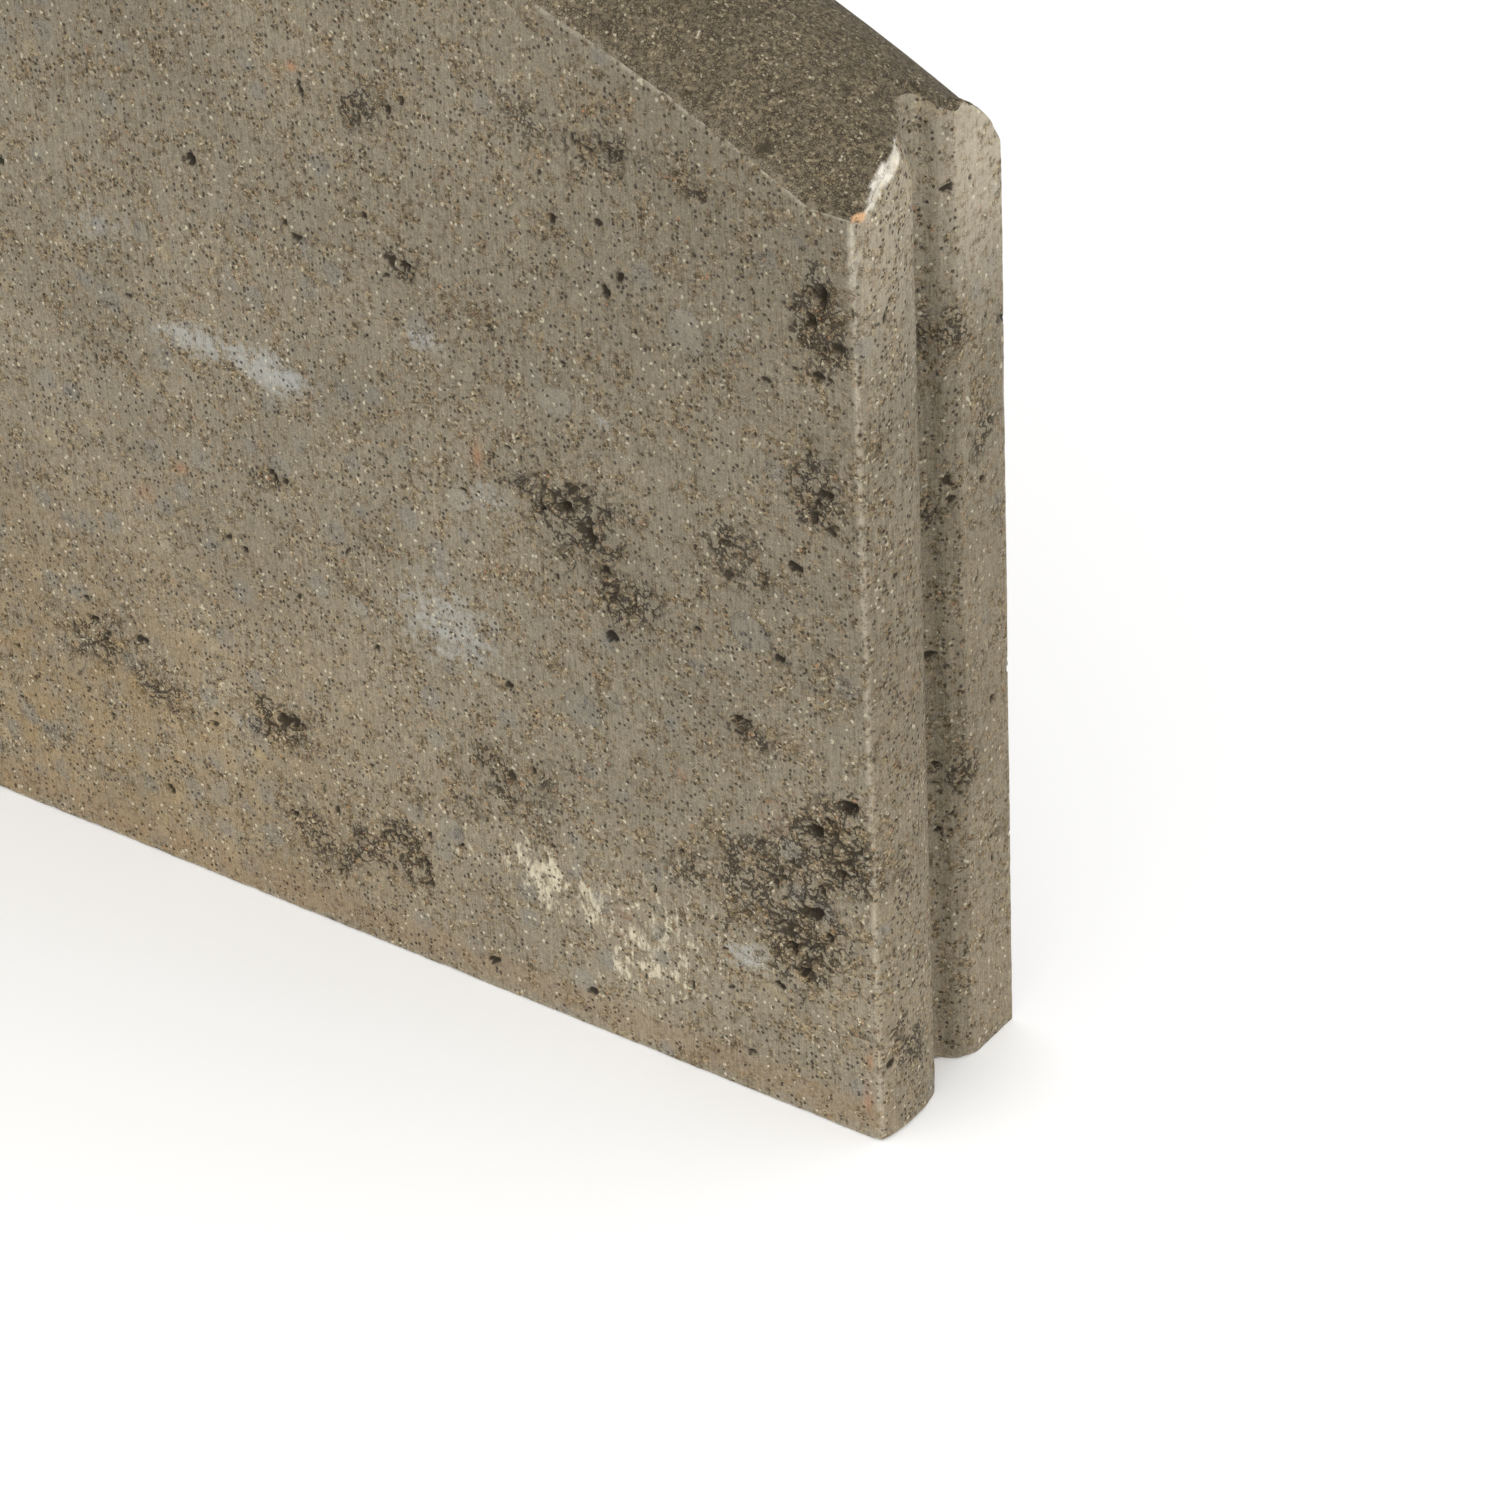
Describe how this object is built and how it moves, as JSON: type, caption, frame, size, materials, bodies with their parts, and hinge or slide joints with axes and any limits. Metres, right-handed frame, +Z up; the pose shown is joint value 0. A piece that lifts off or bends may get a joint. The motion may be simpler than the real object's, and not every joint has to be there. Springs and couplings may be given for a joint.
{
  "type": "concrete edging board",
  "caption": "Precast concrete edging board that stands on its long side, with a bowed and crowned top and tongue and groove ends.",
  "frame": {"origin": "middle of the flat underside", "axes": "+X along the board towards the grooved end, +Y from the front face to the back face, +Z up"},
  "size_m": [0.5098, 0.06, 0.3264],
  "materials": {
    "core_concrete": "rough, pitted, pressed concrete with lime bloom",
    "top_facing": "fine tamped concrete, darker than the core",
    "bar_steel": "plain drawn steel with a light rust film",
    "buff_stones": "buff limestone, worn flush",
    "grey_stones": "blue grey basalt, worn flush",
    "white_stones": "pale quartz, worn flush",
    "rust_stones": "ironstone, worn flush",
    "river_pebbles": "smooth river pebble, worn flush"
  },
  "bodies": {
    "root": {"core_concrete": "core_concrete", "top_facing": "top_facing", "bow_bar": "bar_steel", "middle_bar": "bar_steel", "bottom_bar": "bar_steel", "upright_wires": "bar_steel", "buff_stones": "buff_stones", "grey_stones": "grey_stones", "white_stones": "white_stones", "rust_stones": "rust_stones", "river_pebbles": "river_pebbles"}
  },
  "joints": []
}
